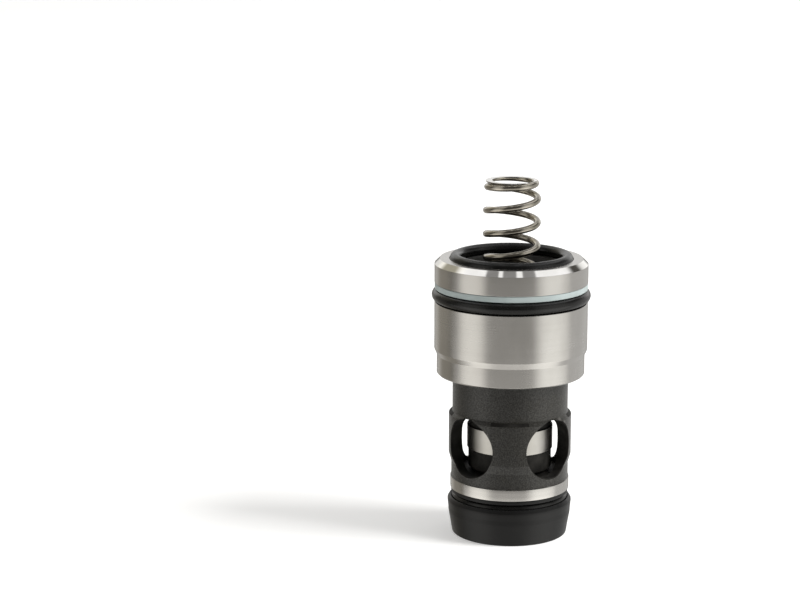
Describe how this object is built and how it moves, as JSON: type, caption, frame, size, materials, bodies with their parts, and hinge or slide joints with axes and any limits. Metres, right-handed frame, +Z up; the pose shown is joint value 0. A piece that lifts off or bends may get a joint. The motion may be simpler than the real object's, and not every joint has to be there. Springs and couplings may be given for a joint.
{
  "type": "cartridge valve",
  "caption": "Two-port slip-in hydraulic cartridge valve with sleeve, spring-closed poppet, seals and a push-on cap over its nose.",
  "frame": {"origin": "centre of the protective cap's underside, where the valve stands", "axes": "+Z up the valve's axis from the nose to the top face; the four windows face +X, +Y, -X and -Y"},
  "size_m": [0.033, 0.033, 0.075],
  "materials": {
    "ground_steel": "ground steel, dark phosphated waist and port band",
    "poppet_steel": "ground land, dark phosphated tail",
    "spring_wire": "bright drawn wire, oiled",
    "seal_rubber": "smooth moulded nitrile, lightly oiled",
    "pale_backup_ring": "pale blue-white fluoropolymer",
    "dark_backup_ring": "dark filled fluoropolymer",
    "cap_plastic": "smooth satin black"
  },
  "bodies": {
    "sleeve_body": {"sleeve": "ground_steel", "top_face_oring": "seal_rubber", "upper_oring": "seal_rubber", "upper_backup_ring": "pale_backup_ring", "lower_oring": "seal_rubber", "lower_backup_ring": "dark_backup_ring"},
    "poppet_body": {"poppet": "poppet_steel"},
    "spring_body": {"spring": "spring_wire"},
    "cap_body": {"protective_cap": "cap_plastic"}
  },
  "joints": [
    {"name": "poppet_lift", "type": "slide", "parent": "sleeve_body", "child": "poppet_body", "axis": [0, 0, 1], "range_m": [0, 0.009]},
    {"name": "spring_compress", "type": "slide", "parent": "poppet_body", "child": "spring_body", "axis": [0, 0, -1], "range_m": [0, 0.0256], "stiffness_N_per_m": 2900, "deforming": ["spring"]},
    {"name": "cap_pull", "type": "slide", "parent": "cap_body", "child": "sleeve_body", "axis": [0, 0, 1], "range_m": [0, 0.012]}
  ]
}
